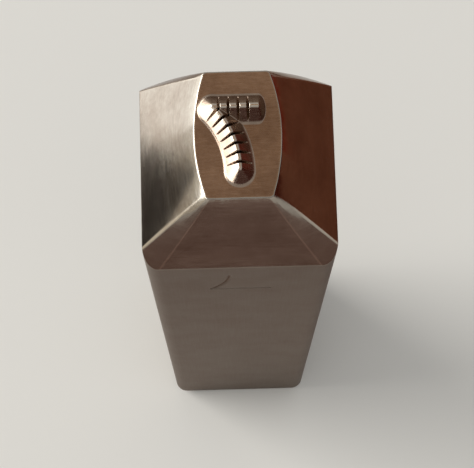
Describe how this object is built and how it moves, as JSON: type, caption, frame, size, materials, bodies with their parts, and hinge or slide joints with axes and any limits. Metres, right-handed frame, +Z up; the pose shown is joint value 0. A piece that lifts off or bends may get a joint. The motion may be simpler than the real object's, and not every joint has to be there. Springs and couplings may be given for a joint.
{
  "type": "number hand stamp",
  "caption": "Square steel hand stamp with a tapered head and a raised, mirrored, toothed figure seven that marks metal when the other end is struck.",
  "frame": {"origin": "middle of the struck end", "axes": "+Z up the shank from the struck end to the raised figure, -Y out of the front face with the guide mark"},
  "size_m": [0.012, 0.012, 0.07],
  "materials": {
    "tool_steel": "ground and tempered"
  },
  "bodies": {
    "root": {"number_stamp": "tool_steel"}
  },
  "joints": []
}
